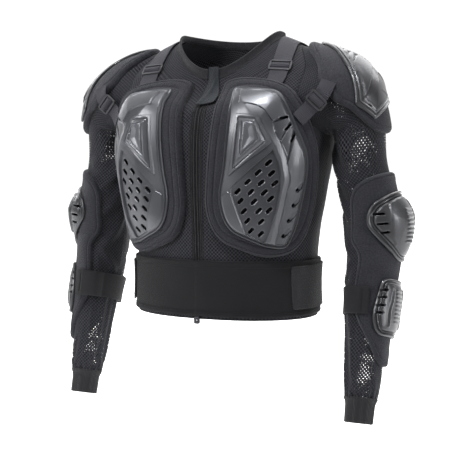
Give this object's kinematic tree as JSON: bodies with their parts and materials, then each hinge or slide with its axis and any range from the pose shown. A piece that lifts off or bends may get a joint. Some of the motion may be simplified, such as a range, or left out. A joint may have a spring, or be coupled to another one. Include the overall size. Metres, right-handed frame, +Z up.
{
  "type": "motocross body armour jacket",
  "caption": "Long-sleeved mesh body armour jacket with padded, slotted plates on the chest, shoulders, elbows and forearms, buckled straps and an elastic waist belt.",
  "frame": {"origin": "middle of the neck at the height of the shoulder seams, where the wearer's shoulders carry the jacket", "axes": "+Z up, the front faces -Y, the wearer's left is +X"},
  "size_m": [0.638, 0.2647, 0.6347],
  "materials": {
    "mesh_cloth": "black open polyester mesh",
    "pad_cloth": "dark grey woven cover over foam",
    "webbing": "dark grey ribbed webbing",
    "plate": "gunmetal grey, glossy moulded",
    "belt_cloth": "black elastic",
    "tab_cloth": "dark grey tab cloth",
    "binding": "dark grey bound edge",
    "knit": "black rib knit",
    "zip": "black zip tape with coil teeth",
    "buckle": "grey satin moulded",
    "metal": "dark nickel"
  },
  "bodies": {
    "root": {"body_front_left": "mesh_cloth", "body_front_right": "mesh_cloth", "body_back": "mesh_cloth", "upper_sleeve_left": "mesh_cloth", "upper_sleeve_right": "mesh_cloth", "lower_sleeve_left": "mesh_cloth", "lower_sleeve_right": "mesh_cloth", "cuff_left": "knit", "cuff_right": "knit", "collar_binding": "binding", "collar_tab": "tab_cloth", "belt_tab_left": "tab_cloth", "belt_tab_right": "tab_cloth", "zipper_strip": "zip", "zipper_stop": "metal", "waist_belt": "belt_cloth", "arm_strap_left": "belt_cloth", "arm_strap_right": "belt_cloth", "chest_pad_left": "pad_cloth", "chest_pad_right": "pad_cloth", "shoulder_pad_left": "pad_cloth", "shoulder_pad_right": "pad_cloth", "elbow_pad_left": "pad_cloth", "elbow_pad_right": "pad_cloth", "back_pad": "pad_cloth", "chest_plate_left": "plate", "chest_plate_right": "plate", "shoulder_plate_left": "plate", "shoulder_plate_right": "plate", "elbow_cup_left": "plate", "elbow_cup_right": "plate", "forearm_plate_left": "plate", "forearm_plate_right": "plate", "shoulder_strap_left": "webbing", "shoulder_strap_right": "webbing", "side_strap_left": "webbing", "side_strap_right": "webbing", "shoulder_strap_buckle_left": "buckle", "shoulder_strap_buckle_right": "buckle", "side_strap_buckle_left": "buckle", "side_strap_buckle_right": "buckle"}
  },
  "joints": []
}
